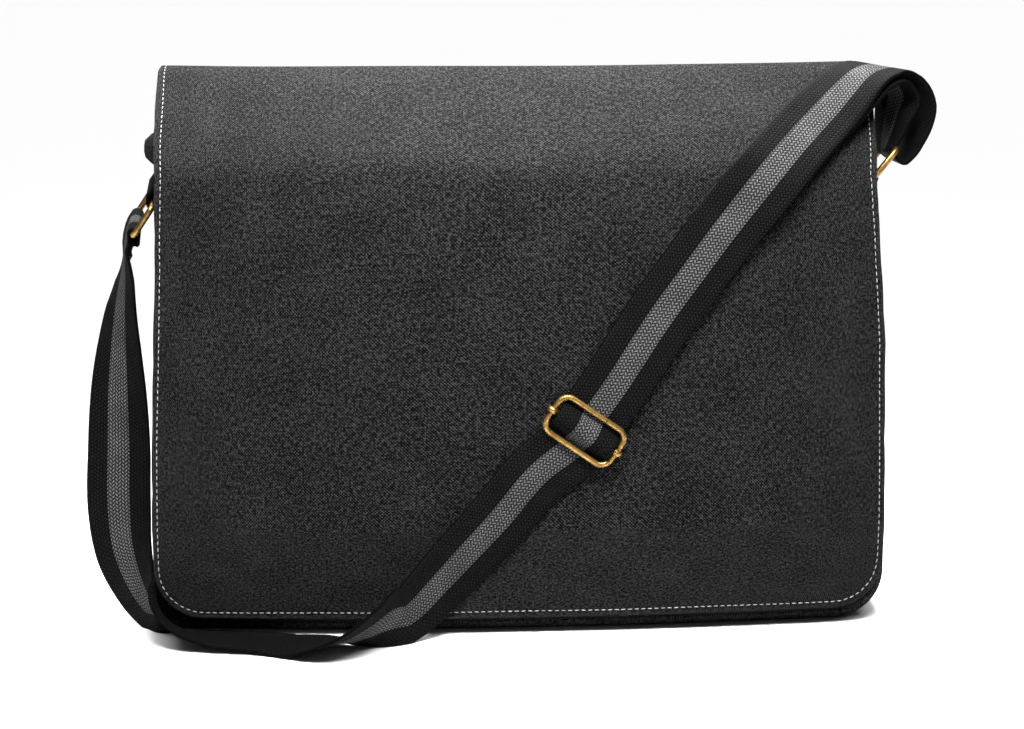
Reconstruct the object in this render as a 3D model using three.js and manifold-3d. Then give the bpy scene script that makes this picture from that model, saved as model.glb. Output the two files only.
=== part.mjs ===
// Canvas shoulder bag: a soft body of two panels and a gusset, closed by a full front flap,
// with a striped webbing strap on two wire rings and a wire slider.
// Millimetres. X runs to the right of the front view, Y from front to back, Z up.
// The origin is the middle of the flat base.
import * as THREE from 'three';
import Module from 'manifold-3d';
import { mergeVertices } from 'three/addons/utils/BufferGeometryUtils.js';

const wasm = await Module();
wasm.setup();

// Body
const CANVAS = 2;
const SEAM_GAP = 0.5;
const BASE_HALF_WIDTH = 202;
const TOP_HALF_WIDTH = 192;
const BASE_CORNER = 28;
const CORNER_STEPS = 6;
const SIDE_STEPS = 12;
const FOLD_STEPS = 5;
const TAPER_FROM = 40;
const TAPER_TO = 240;
const RIGHT_SAG = 4;
const FRONT_TOP = 258;
const BACK_TOP = 286;
const GUSSET_TOP = 275;

// Depth of the body: at the side seams, and how much further it swells in the middle
const FRONT_SIDE = 38;
const BACK_SIDE = 38;
const FRONT_SWELL = 16.5;
const FRONT_BASE_SWELL = 12;
const BACK_SWELL = 6.5;
const SWELL_POWER = 2.2;
const BASE_ROUND = 28;

// The slack top of the front leans back under the flap
const LEAN_FROM = 208;
const LEAN_SIDE = 23;
const LEAN_MIDDLE = 6;

// The gusset's outward fold at the top of the left side
const FOLD = { foot: 255, height: 264, reach: 12.5, halfHeight: 10, middle: 4, halfDepth: 17 };

// Flap: its middle line from the bottom hem over the top to the back hem, with the reach of its
// left and right edge, how far those edges lie behind the middle, and the steps to the next row
const FLAP_CANVAS = 2.2;
const FLAP_CORNER = 27;
const FLAP_EDGE_POWER = 2.2;
const FLAP_ROWS = [
  { y: -57.5, z: 10, left: 201, right: 202.3, behind: 11, steps: 1 },
  { y: -58.5, z: 60, left: 201.5, right: 203, behind: 12, steps: 1 },
  { y: -58.5, z: 110, left: 201, right: 201.7, behind: 12, steps: 2 },
  { y: -58.5, z: 160, left: 199, right: 200.7, behind: 12, steps: 2 },
  { y: -58, z: 205, left: 197, right: 197.2, behind: 12, steps: 2 },
  { y: -54.5, z: 236, left: 196.5, right: 195.2, behind: 10, steps: 2 },
  { y: -44.5, z: 257, left: 196.5, right: 194.5, behind: 6, steps: 3 },
  { y: -27, z: 273, left: 197.5, right: 196.5, behind: 3, steps: 3 },
  { y: 0, z: 291, left: 197, right: 198.5, behind: 1, steps: 2 },
  { y: 23, z: 302.8, left: 197, right: 197.5, behind: -1.5, steps: 3 },
  { y: 36, z: 305, left: 196.5, right: 196.5, behind: -1.5, steps: 3 },
  { y: 45, z: 298.5, left: 196, right: 196, behind: 1, steps: 3 },
  { y: 47, z: 284, left: 195, right: 195.5, behind: 6, steps: 3 },
  { y: 47, z: 248, left: 195, right: 195, behind: 6 },
];
const FLAP_FRONT_ROWS = 6;
const HALVINGS = 20;

// Facets
const FRONT_GRID = { columns: 18, steps: 12 };
const BACK_GRID = { columns: 14, steps: 8 };
const GUSSET_COLUMNS = 8;
const BASE_STEPS = 14;
const FLAP_COLUMNS = 20;
const WIRE_SIDES = 8;
const WIRE_CORNER_STEPS = 4;
const BEND_STEPS = 8;
const ROD_SIDES = 14;

// Hardware
const WIRE = 3.5;
const WIRE_GAP = 0.3;
const RING_WINDOW = { long: 42, short: 17, corner: 4 };
const SLIDER_WINDOW = { long: 38.5, short: 19, corner: 6 };
const COLLAR_WALL = 1.5;
const COLLAR_LENGTH = 3;
const THREAD_TOP = 0.15;
const THREAD_FOOT = 0.8;

// Webbing
const STRAP_WIDTH = 38;
const STRAP_THICK = 1.6;
const STRAP_SQUEEZE = 34.2 / STRAP_WIDTH;
const LAYER_GAP = 0.4;
const FLAP_GAP = 0.7;
const FLOOR_GAP = 0.2;
const STRAP_STEP = 8;
const TAB_WIDTH = 34;
const TAB_THICK = 1.8;
const TAB_GAP = 0.5;
const SEWN_TAIL = 15;
const CLOSE_AT_RING = 10;
const CLOSE_AT_LOOP = 40;

// Places of the ring bars: where the tab holds the ring, and where the ring holds the strap
const LEFT = {
  side: -1, top: 251, tabBar: [-199.5, 6.5, 238], reach: [-0.545, 0, -0.838], bar: [0, -0.989, -0.15],
};
const RIGHT = {
  side: 1, top: 260, tabBar: [198, 8, 244], reach: [0.63, 0, 0.777], bar: [0, 0.993, -0.12],
};
const LEAVE_LEFT = [-0.3, 0.15, -0.94];
const ARRIVE_RIGHT = [-0.83, -0.05, 0.55];
const RIGHT_TURN = THREE.MathUtils.degToRad(60);
const SLIDER = { x: 33.8, z: 117, across: [-0.82, 0, 0.572], along: [0.572, 0, 0.82] };

const smooth = (value, from, to) => THREE.MathUtils.smoothstep(value, from, to);
const vector = (list) => new THREE.Vector3(...list);

// Half width of the body at a height, above the rounded base corners
function bodyHalf(z) {
  return THREE.MathUtils.lerp(BASE_HALF_WIDTH, TOP_HALF_WIDTH, smooth(z, TAPER_FROM, TAPER_TO));
}

const swell = (x) => 1 - Math.abs(x / BASE_HALF_WIDTH) ** SWELL_POWER;

// The slack right side sags outward, most of all low down
function sagged(x, z) {
  const share = Math.max(x / BASE_HALF_WIDTH, 0) * (1 - smooth(z, TAPER_FROM, TAPER_TO));
  return x + RIGHT_SAG * share;
}

// Outer face of the front panel: swollen, rounded in towards the base, leaning back at the top
function bodyFront(x, z) {
  const round = THREE.MathUtils.lerp(FRONT_BASE_SWELL, FRONT_SWELL, smooth(z, 0, BASE_ROUND));
  const lean = smooth(z, LEAN_FROM, GUSSET_TOP) * (LEAN_SIDE + LEAN_MIDDLE * swell(x));
  return -(FRONT_SIDE + round * swell(x)) + lean;
}

const bodyBack = (x) => BACK_SIDE + BACK_SWELL * swell(x);

// Reads one column of a table at a place counted in rows
function column(rows, place, name) {
  const index = Math.min(Math.floor(place), rows.length - 2);
  return THREE.MathUtils.lerp(rows[index][name], rows[index + 1][name], place - index);
}

const flapLine = new THREE.CatmullRomCurve3(
  FLAP_ROWS.map(({ y, z }) => new THREE.Vector3(0, y, z)), false, 'centripetal');
const flapReach = (place, x) => column(FLAP_ROWS, place, x < 0 ? 'left' : 'right');

// A point of the flap's outer face, at a place counted in rows
function flapPoint(place, x) {
  const share = place / (FLAP_ROWS.length - 1);
  const run = flapLine.getTangent(share);
  const inward = new THREE.Vector3(0, run.z, -run.y);
  const edge = Math.abs(x / flapReach(place, x)) ** FLAP_EDGE_POWER;
  const behind = edge * column(FLAP_ROWS, place, 'behind');
  return flapLine.getPoint(share).setX(x).addScaledVector(inward, behind);
}

// Depth of the flap's hanging front at a height, found by halving
function flapFront(x, z) {
  let low = 0;
  let high = FLAP_FRONT_ROWS;
  for (let i = 0; i < HALVINGS; i += 1) {
    const place = (low + high) / 2;
    if (flapPoint(place, x).z < z) {
      low = place;
    } else {
      high = place;
    }
  }
  return flapPoint(low, x).y;
}

// A closed body from loose triangles, turned so that its faces point out
function solid(points, triangles) {
  let volume = 0;
  for (const [a, b, c] of triangles) {
    volume += points[a].dot(points[b].clone().cross(points[c]));
  }
  const index = triangles.flatMap(([a, b, c]) => (volume > 0 ? [a, b, c] : [a, c, b]));
  const geometry = new THREE.BufferGeometry();
  const places = points.flatMap((point) => point.toArray());
  geometry.setAttribute('position', new THREE.Float32BufferAttribute(places, 3));
  geometry.setIndex(index);
  return geometry;
}

// A cloth wall: a grid of points on one face, the same grid set back by the thickness but not below
// the floor, and a rim
function wall(grid, thickness) {
  const rows = grid.length;
  const columns = grid[0].length;
  const back = grid.map((row, i) => row.map((point, j) => {
    const down = grid[Math.min(i + 1, rows - 1)][j].clone().sub(grid[Math.max(i - 1, 0)][j]);
    const side = row[Math.min(j + 1, columns - 1)].clone().sub(row[Math.max(j - 1, 0)]);
    const behind = point.clone().addScaledVector(down.cross(side).normalize(), thickness);
    return behind.setZ(Math.max(behind.z, 0));
  }));
  const points = [...grid.flat(), ...back.flat()];
  const at = (face, i, j) => face * rows * columns + i * columns + j;
  const triangles = [];
  const quad = (a, b, c, d) => triangles.push([a, b, c], [a, c, d]);
  for (let i = 0; i < rows - 1; i += 1) {
    for (let j = 0; j < columns - 1; j += 1) {
      quad(at(0, i, j), at(0, i, j + 1), at(0, i + 1, j + 1), at(0, i + 1, j));
      quad(at(1, i, j), at(1, i + 1, j), at(1, i + 1, j + 1), at(1, i, j + 1));
    }
  }
  const border = [];
  for (let j = 0; j < columns - 1; j += 1) {
    border.push([0, j]);
  }
  for (let i = 0; i < rows - 1; i += 1) {
    border.push([i, columns - 1]);
  }
  for (let j = columns - 1; j > 0; j -= 1) {
    border.push([rows - 1, j]);
  }
  for (let i = rows - 1; i > 0; i -= 1) {
    border.push([i, 0]);
  }
  border.forEach((here, k) => {
    const next = border[(k + 1) % border.length];
    quad(at(0, ...next), at(0, ...here), at(1, ...here), at(1, ...next));
  });
  return solid(points, triangles);
}

// A section carried along stations, each with its own two section axes. Both faces of a band, and
// those of a layer that returns below it, are split along the same diagonals, so that they twist alike
const BAND_FRONT = 2;
function sweep(stations, section, closed = false) {
  const sides = section.length;
  const points = stations.flatMap(({ at, across, out }) => section.map(([a, b]) => (
    at.clone().addScaledVector(across, a).addScaledVector(out, b))));
  const triangles = [];
  const spans = closed ? stations.length : stations.length - 1;
  for (let i = 0; i < spans; i += 1) {
    const here = i * sides;
    const next = ((i + 1) % stations.length) * sides;
    for (let k = 0; k < sides; k += 1) {
      const after = (k + 1) % sides;
      if ((k === BAND_FRONT) === Boolean(stations[i].returning)) {
        triangles.push([here + k, next + k, next + after], [here + k, next + after, here + after]);
      } else {
        triangles.push([here + k, next + k, here + after], [next + k, next + after, here + after]);
      }
    }
  }
  if (!closed) {
    const last = (stations.length - 1) * sides;
    for (let k = 1; k < sides - 1; k += 1) {
      triangles.push([0, k, k + 1], [last, last + k + 1, last + k]);
    }
  }
  return solid(points, triangles);
}

// Rows of heights that follow a round corner first, then rise evenly to the top
function cornerHeights(bottom, radius, top, cornerSteps, steps) {
  const heights = [];
  for (let i = 0; i < cornerSteps; i += 1) {
    heights.push(bottom + radius * (1 - Math.cos((i / cornerSteps) * (Math.PI / 2))));
  }
  for (let i = 0; i <= steps; i += 1) {
    heights.push(THREE.MathUtils.lerp(bottom + radius, top, i / steps));
  }
  return heights;
}

// How far a round corner pulls an edge in, at a height above the corner's lowest point
function cornerInset(height, radius) {
  const short = Math.max(radius - height, 0);
  return radius - Math.sqrt(radius * radius - short * short);
}

function panel(depthAt, top, { columns, steps }, thickness) {
  const heights = cornerHeights(0, BASE_CORNER, top, CORNER_STEPS, steps);
  const grid = heights.map((z) => {
    const half = bodyHalf(z) - cornerInset(z, BASE_CORNER);
    return Array.from({ length: columns + 1 }, (_, j) => {
      const x = half * ((2 * j) / columns - 1);
      return new THREE.Vector3(sagged(x, z), depthAt(x, z), z);
    });
  });
  return wall(grid, thickness);
}

// Outline of the body from the left top down, along the base and up to the right top
function bodyOutline() {
  const heights = cornerHeights(0, BASE_CORNER, FOLD.foot, CORNER_STEPS, SIDE_STEPS);
  for (let i = 1; i <= FOLD_STEPS; i += 1) {
    heights.push(THREE.MathUtils.lerp(FOLD.foot, GUSSET_TOP, i / FOLD_STEPS));
  }
  const half = heights.map((z) => [bodyHalf(z) - cornerInset(z, BASE_CORNER), z]);
  const [baseEnd] = half[0];
  const base = Array.from({ length: BASE_STEPS - 1 }, (_, i) => (
    [baseEnd * ((2 * (i + 1)) / BASE_STEPS - 1), 0]));
  const left = half.map(([x, z]) => [-x, z]).reverse();
  return [...left, ...base, ...half];
}

function gusset() {
  const grid = bodyOutline().map(([x, z]) => {
    const front = bodyFront(x, z) + CANVAS + SEAM_GAP;
    const back = bodyBack(x) - CANVAS - SEAM_GAP;
    return Array.from({ length: GUSSET_COLUMNS + 1 }, (_, j) => {
      const y = THREE.MathUtils.lerp(front, back, j / GUSSET_COLUMNS);
      const up = (z - FOLD.height) / FOLD.halfHeight;
      const aside = (y - FOLD.middle) / FOLD.halfDepth;
      const folded = x < 0 && z > FOLD.foot;
      const fold = folded ? FOLD.reach * Math.exp(-(up ** 4) - aside * aside) : 0;
      return new THREE.Vector3(sagged(x, z) - fold, y, z);
    });
  });
  return wall(grid, CANVAS);
}

function flap() {
  const bottom = FLAP_ROWS[0].z;
  const firstRise = FLAP_ROWS[1].z - bottom;
  const places = cornerHeights(0, FLAP_CORNER, firstRise, CORNER_STEPS, FLAP_ROWS[0].steps)
    .map((height) => height / firstRise);
  FLAP_ROWS.slice(1, -1).forEach(({ steps }, k) => {
    for (let i = 1; i <= steps; i += 1) {
      places.push(k + 1 + i / steps);
    }
  });
  const grid = places.map((place) => {
    const inset = place < 1 ? cornerInset(flapPoint(place, 0).z - bottom, FLAP_CORNER) : 0;
    return Array.from({ length: FLAP_COLUMNS + 1 }, (_, j) => {
      const share = (2 * j) / FLAP_COLUMNS - 1;
      return flapPoint(place, share * (flapReach(place, share) - inset));
    });
  });
  return wall(grid, FLAP_CANVAS);
}

// A rectangle of wire with round corners, lying along two directions
function wireFrame(centre, long, short, window) {
  const halfLong = (window.long + WIRE) / 2;
  const halfShort = (window.short + WIRE) / 2;
  const face = long.clone().cross(short).normalize();
  const stations = [];
  for (let corner = 0; corner < 4; corner += 1) {
    const longSign = corner === 0 || corner === 3 ? 1 : -1;
    const shortSign = corner < 2 ? 1 : -1;
    for (let i = 0; i <= WIRE_CORNER_STEPS; i += 1) {
      const angle = (corner + i / WIRE_CORNER_STEPS) * (Math.PI / 2);
      const out = long.clone().multiplyScalar(Math.cos(angle)).addScaledVector(short, Math.sin(angle));
      const at = centre.clone()
        .addScaledVector(long, longSign * (halfLong - window.corner))
        .addScaledVector(short, shortSign * (halfShort - window.corner))
        .addScaledVector(out, window.corner);
      stations.push({ at, across: out, out: face });
    }
  }
  return sweep(stations, circle(WIRE / 2, WIRE_SIDES), true);
}

function circle(radius, sides) {
  return Array.from({ length: sides }, (_, k) => {
    const angle = ((k + 0.5) / sides) * 2 * Math.PI;
    return [radius * Math.cos(angle), radius * Math.sin(angle)];
  });
}

function band(width, thick) {
  const side = width / 2;
  const face = thick / 2;
  return [[-side, -face], [side, -face], [side, face], [-side, face]];
}

// Stations of a band that bends round a wire: from one side of it, past the far side, through a turn
function bend(centre, bar, from, past, thick, turn = Math.PI) {
  const radius = WIRE / 2 + WIRE_GAP + thick / 2;
  return Array.from({ length: BEND_STEPS + 1 }, (_, i) => {
    const angle = (i / BEND_STEPS) * turn;
    const out = from.clone().multiplyScalar(Math.cos(angle)).addScaledVector(past, Math.sin(angle));
    return { at: centre.clone().addScaledVector(out, radius), across: bar.clone(), out };
  });
}

// The strap bar of a ring, one window away from the bar that its tab holds
function strapBar({ tabBar, reach, bar }) {
  const direction = squareTo(vector(reach), vector(bar).normalize());
  return vector(tabBar).addScaledVector(direction, RING_WINDOW.short + WIRE);
}

function ring(place) {
  const centre = vector(place.tabBar).add(strapBar(place)).multiplyScalar(0.5);
  const long = vector(place.bar).normalize();
  return wireFrame(centre, long, squareTo(vector(place.reach), long), RING_WINDOW);
}

function squareTo(direction, axis) {
  return direction.clone().addScaledVector(axis, -direction.dot(axis)).normalize();
}

// A tab: both ends sewn flat to the gusset, and the fold below round the ring
function tab({ side, top, tabBar, bar }) {
  const centre = vector(tabBar);
  const axis = vector(bar).normalize();
  const out = squareTo(new THREE.Vector3(side, 0, 0), axis);
  const down = squareTo(new THREE.Vector3(0, 0, -1), axis);
  const fold = bend(centre, axis, out.clone().negate(), down, TAB_THICK);
  const seat = TOP_HALF_WIDTH + TAB_GAP + TAB_THICK / 2;
  const rise = top - centre.z;
  const leg = (depth) => {
    const foot = centre.clone().addScaledVector(out, depth - side * centre.x);
    return { at: foot.addScaledVector(down, -rise), across: axis.clone() };
  };
  const inner = { ...leg(seat), out: out.clone().negate() };
  const outer = { ...leg(seat + TAB_THICK + LAYER_GAP), out };
  const clear = (station) => ({ ...station, at: station.at.clone().addScaledVector(down, -WIRE) });
  const stations = [inner, clear(fold[0]), ...fold, clear(fold[fold.length - 1]), outer];
  return sweep(stations, band(TAB_WIDTH, TAB_THICK));
}

// Heights of the strap's middle above the flap, where it threads the slider
const singleLift = FLAP_GAP + STRAP_THICK / 2;
const doubleLift = singleLift + STRAP_THICK + LAYER_GAP;
const sliderLift = doubleLift + STRAP_THICK / 2 + WIRE_GAP + WIRE / 2;
const barReach = WIRE / 2 + WIRE_GAP + STRAP_THICK / 2;
const crossLift = sliderLift + barReach + STRAP_THICK + LAYER_GAP;

function onFlap(x, z, lift) {
  return [x, flapFront(x, z) - lift, z];
}

// Lift of the strap's middle where its upper edge stands off the flap by a slope
const edgeLift = (slope) => singleLift + (slope * STRAP_WIDTH) / 2;

function sliderPoint(along, lift) {
  return onFlap(SLIDER.x + along * SLIDER.along[0], SLIDER.z + along * SLIDER.along[2], lift);
}

// Where the strap threads the slider: the frame's long wires to either side of the bar, and the
// height of the strap's middle at a share of the way to them
const sideWire = (SLIDER_WINDOW.short + WIRE) / 2;
function threadLift(place) {
  const low = doubleLift - WIRE_GAP / 2;
  return low + (crossLift - low) * (1 - smooth(place, THREAD_TOP, THREAD_FOOT));
}

// The strap's route from the left ring to the right one: its middle, the direction across it
// towards the edge that is uppermost on the flap, and its width there as a share of the full width
const ROUTE = [
  { at: [-216.4, 10.3, 212.5], across: LEFT.bar },
  { at: [-217, 8.6, 203], across: [0.12, -0.99, -0.08] },
  { at: [-217.6, 4.6, 192], across: [0.28, -0.95, 0.05] },
  { at: [-219, 0.5, 178], across: [0.45, -0.88, 0.14] },
  { at: [-220.5, -1, 156], across: [0.64, -0.75, 0.15] },
  { at: [-222, -1, 123], across: [0.85, -0.51, 0.1] },
  { at: [-222.4, -4, 95], across: [0.93, -0.36, 0.07] },
  { at: [-222, -10, 67], across: [0.94, -0.32, 0.1] },
  { at: [-219, -18.5, 43], across: [0.84, -0.45, 0.28] },
  { at: [-212.1, -30.8, 24.5], across: [0.56, -0.6, 0.54] },
  { at: [-203, -42.5, 15], across: [0.3, -0.74, 0.56] },
  { at: [-195.5, -52, 10.5], across: [0.12, -0.88, 0.42] },
  { at: [-185.5, -59, 6], across: [0, -0.97, 0.22] },
  { at: [-173.5, -62.5, 3.2], across: [-0.06, -0.99, 0.11] },
  { at: [-159, -65, 2], across: [-0.1, -0.99, 0.06] },
  { at: [-142, -68, 1.4], across: [-0.1, -1, 0.03] },
  { at: [-123, -76, 1.6], across: [-0.03, -1, 0.02] },
  { at: [-103.5, -88, 6.6], across: [-0.06, -0.95, 0.28] },
  { at: [-82, -87.5, 12.6], across: [-0.27, -0.75, 0.6] },
  { at: [-62, -74.5, 19], across: [-0.48, -0.5, 0.72] },
  { at: onFlap(-45, 34, edgeLift(0.4)), across: [-0.62, -0.4, 0.68] },
  { at: onFlap(-30, 50, edgeLift(0.32)), across: [-0.66, -0.32, 0.68] },
  { at: onFlap(-13.5, 67.5, edgeLift(0.24)), across: [-0.69, -0.24, 0.68] },
  { at: onFlap(8.5, 93, edgeLift(0.12)), across: [-0.74, -0.12, 0.66], width: 0.96 },
  ...[-1, -0.66, -0.4, -0.2, 0, 0.2, 0.4, 0.66, 1].map((place) => ({
    at: sliderPoint(place * sideWire, threadLift(Math.abs(place))),
    across: SLIDER.across,
    width: STRAP_SQUEEZE,
    second: place === 1,
  })),
  { at: sliderPoint(30, doubleLift), across: [-0.83, 0, 0.56], width: 0.98 },
  { at: onFlap(74, 177.5, doubleLift), across: [-0.82, 0, 0.57] },
  { at: onFlap(92.5, 203, doubleLift + 0.5), across: [-0.81, 0, 0.59] },
  { at: onFlap(111, 227.5, doubleLift + 1), across: [-0.79, 0.04, 0.61] },
  { at: [129, -56.5, 250], across: [-0.78, 0.2, 0.59] },
  { at: [148.5, -42, 269], across: [-0.75, 0.42, 0.51] },
  { at: [169, -25.5, 286.5], across: [-0.68, 0.55, 0.48] },
  { at: [190.1, -10.7, 304.1], across: [-0.55, 0.81, 0.2], parts: true },
  { at: [199.9, -2.2, 306.5], across: [-0.45, 0.89, 0.1] },
  { at: [208.8, 3.3, 305.3], across: [-0.35, 0.93, -0.05] },
  { at: [214.6, 5.1, 299.4], across: [-0.38, 0.9, -0.2] },
  { at: [219.8, 5.7, 293.6], across: [-0.42, 0.88, -0.22] },
  { at: [222.6, 6.3, 288.8], across: [-0.45, 0.88, -0.12] },
  { at: [224.3, 7.2, 283.8], across: [-0.42, 0.91, 0] },
  { at: [224.4, 7.9, 277], across: [-0.33, 0.94, 0.08] },
  { at: [222.4, 8.9, 268.2], across: [-0.22, 0.97, 0.1] },
  { at: [219.4, 9.9, 259], across: [-0.1, 0.99, 0.06] },
  { at: [215.8, 10, 252.8], across: [0, 1, -0.05] },
];

// The returning layer from the right ring up to where the two layers part
const LOOP_BACK = [
  { at: [207.9, 9.9, 264.3], across: RIGHT.bar },
  { at: [210.4, 9.1, 273.7], across: [-0.19, 0.98, 0.05] },
  { at: [212.3, 7.8, 282.1], across: [-0.35, 0.93, 0.05] },
  { at: [213.7, 6.1, 289.6], across: [-0.48, 0.87, -0.05] },
  { at: [211.3, 3.9, 295.8], across: [-0.45, 0.88, -0.05] },
  { at: [207.2, 1, 301.8], across: [-0.43, 0.89, 0.08] },
  { at: [197.5, -5, 301.6], across: [-0.49, 0.86, 0.14] },
];

// How the strap stands on a ring's bar: along the bar, on along the strap, and out of its striped face
function barFrame(place, heading) {
  const axis = vector(place.bar).normalize();
  const run = squareTo(vector(heading), axis);
  return { centre: strapBar(place), axis, run, out: run.clone().cross(axis) };
}

const leftFrame = barFrame(LEFT, LEAVE_LEFT);
const rightFrame = barFrame(RIGHT, ARRIVE_RIGHT);

// Stations along a smooth path through rows, kept above the floor
function stationsAlong(rows) {
  const middle = new THREE.CatmullRomCurve3(rows.map(({ at }) => vector(at)), false, 'centripetal');
  const across = new THREE.CatmullRomCurve3(rows.map((row) => vector(row.across)), false, 'catmullrom', 0.5);
  const last = rows.length - 1;
  const stations = [];
  for (let i = 0; i < last; i += 1) {
    const length = vector(rows[i].at).distanceTo(vector(rows[i + 1].at));
    const steps = Math.max(1, Math.round(length / STRAP_STEP));
    const ends = i === last - 1 ? 1 : 0;
    for (let k = 0; k < steps + ends; k += 1) {
      const place = i + k / steps;
      const run = middle.getTangent(place / last);
      const edge = squareTo(across.getPoint(place / last), run);
      const width = THREE.MathUtils.lerp(rows[i].width ?? 1, rows[i + 1].width ?? 1, k / steps);
      const out = run.clone().cross(edge);
      const at = middle.getPoint(place / last);
      const lowest = at.z - (Math.abs(edge.z) * width * STRAP_WIDTH + Math.abs(out.z) * STRAP_THICK) / 2;
      at.z += Math.max(FLOOR_GAP - lowest, 0);
      stations.push({ at, across: edge, out, width, place });
    }
  }
  return stations;
}

// A second layer on the inner side of the route, nearer to it away from the wire that it comes from
function innerLayer(stations, wireEnd) {
  const near = STRAP_THICK + LAYER_GAP;
  const wide = 2 * barReach;
  let distance = 0;
  return stations.map((station, i) => {
    distance += i > 0 ? station.at.distanceTo(stations[i - 1].at) : 0;
    const spread = THREE.MathUtils.lerp(wide, near, smooth(distance, 0, wireEnd));
    return {
      at: station.at.clone().addScaledVector(station.out, -spread),
      across: station.across.clone(),
      out: station.out.clone().negate(),
      width: station.width,
      returning: true,
    };
  });
}

// The whole strap: sewn tail, fold at the left ring, route, turn at the right ring, second layer
// back over the loop and down the flap, and the sewn fold round the slider's bar
function strapStations() {
  const row = ({ at, across }) => ({ at: at.toArray(), across: across.toArray() });
  const onBar = ({ centre, axis, out }) => (
    row({ at: centre.clone().addScaledVector(out, barReach), across: axis }));
  const route = stationsAlong([onBar(leftFrame), ...ROUTE, onBar(rightFrame)]);
  let tailEnd = 0;
  let sewn = 0;
  while (sewn < SEWN_TAIL) {
    sewn += route[tailEnd].at.distanceTo(route[tailEnd + 1].at);
    tailEnd += 1;
  }
  const tail = innerLayer(route.slice(1, tailEnd + 1), CLOSE_AT_RING).reverse();
  const inside = leftFrame.out.clone().negate();
  const up = leftFrame.run.clone().negate();
  const leftBend = bend(leftFrame.centre, leftFrame.axis, inside, up, STRAP_THICK);
  const { centre, axis, out, run } = rightFrame;
  const rightBend = bend(centre, axis, out, run, STRAP_THICK, RIGHT_TURN);
  const underFrame = 1 + ROUTE.findIndex(({ second }) => second);
  const parting = 1 + ROUTE.findIndex(({ parts }) => parts);
  const doubled = route.filter(({ place }) => place >= underFrame && place <= parting).reverse();
  const back = innerLayer(doubled, CLOSE_AT_LOOP);
  const loopBack = stationsAlong([row(rightBend[BEND_STEPS]), ...LOOP_BACK, row(back[0])]).slice(1, -1);
  const barCentre = vector(sliderPoint(0, sliderLift));
  const behind = new THREE.Vector3(0, 1, 0);
  const down = vector(SLIDER.along).negate().normalize();
  const sliderBend = bend(barCentre, vector(SLIDER.across).normalize(), behind, down, STRAP_THICK)
    .map((station) => ({ ...station, width: STRAP_SQUEEZE }));
  return [...tail, ...leftBend, ...route.slice(1, -1), ...rightBend, ...loopBack, ...back, ...sliderBend];
}

function strap() {
  const stations = strapStations().map((station) => ({
    ...station, across: station.across.clone().multiplyScalar(station.width ?? 1),
  }));
  return sweep(stations, band(STRAP_WIDTH, STRAP_THICK));
}

const sliderCentre = vector(sliderPoint(0, sliderLift));

function sliderFrame() {
  const long = vector(SLIDER.across).normalize();
  return wireFrame(sliderCentre, long, vector(SLIDER.along).normalize(), SLIDER_WINDOW);
}

// A round rod between two points, as a solid that can be joined and cut
function rod(from, to, radius) {
  const geometry = new THREE.CylinderGeometry(radius, radius, from.distanceTo(to), ROD_SIDES);
  const axis = to.clone().sub(from).normalize();
  geometry.applyQuaternion(new THREE.Quaternion().setFromUnitVectors(new THREE.Vector3(0, 1, 0), axis));
  geometry.translate(...from.clone().add(to).multiplyScalar(0.5).toArray());
  geometry.deleteAttribute('normal');
  geometry.deleteAttribute('uv');
  const merged = mergeVertices(geometry, 1e-4);
  return new wasm.Manifold(new wasm.Mesh({
    numProp: 3,
    vertProperties: new Float32Array(merged.attributes.position.array),
    triVerts: new Uint32Array(merged.index.array),
  }));
}

// The slider's centre bar, with a collar round each short side of the frame
function sliderBar() {
  const across = vector(SLIDER.across).normalize();
  const along = vector(SLIDER.along).normalize();
  const half = (SLIDER_WINDOW.long + WIRE) / 2;
  const bore = WIRE / 2 + WIRE_GAP;
  const point = (a, b) => sliderCentre.clone().addScaledVector(across, a).addScaledVector(along, b);
  const barEnd = half - bore - COLLAR_WALL / 2;
  let bar = rod(point(-barEnd, 0), point(barEnd, 0), WIRE / 2);
  for (const end of [-half, half]) {
    const reach = COLLAR_LENGTH / 2;
    bar = bar.add(rod(point(end, -reach), point(end, reach), bore + COLLAR_WALL));
  }
  for (const end of [-half, half]) {
    bar = bar.subtract(rod(point(end, -COLLAR_LENGTH), point(end, COLLAR_LENGTH), bore));
  }
  const mesh = bar.getMesh();
  const geometry = new THREE.BufferGeometry();
  const places = Array.from(mesh.vertProperties);
  geometry.setAttribute('position', new THREE.Float32BufferAttribute(places, mesh.numProp));
  geometry.setIndex(Array.from(mesh.triVerts));
  return geometry;
}

const canvas = { color: 0x383838, roughness: 0.95, metalness: 0 };
const webbing = { color: 0x1c1c1c, roughness: 0.9, metalness: 0 };
const brass = { color: 0xb08a3c, roughness: 0.38, metalness: 1 };

const bag = new THREE.Group();
const add = (name, geometry, finish) => {
  const mesh = new THREE.Mesh(geometry, new THREE.MeshStandardMaterial(finish));
  mesh.name = name;
  bag.add(mesh);
};

add('front_panel', panel(bodyFront, FRONT_TOP, FRONT_GRID, CANVAS), canvas);
add('back_panel', panel(bodyBack, BACK_TOP, BACK_GRID, -CANVAS), canvas);
add('gusset', gusset(), canvas);
add('flap', flap(), canvas);
for (const [name, place] of [['left', LEFT], ['right', RIGHT]]) {
  add(`tab_${name}`, tab(place), webbing);
  add(`ring_${name}`, ring(place), brass);
}
add('strap', strap(), webbing);
add('slider_frame', sliderFrame(), brass);
add('slider_bar', sliderBar(), brass);

export default bag;
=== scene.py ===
import math

import bmesh
import bpy
from mathutils import Matrix, Vector


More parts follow.
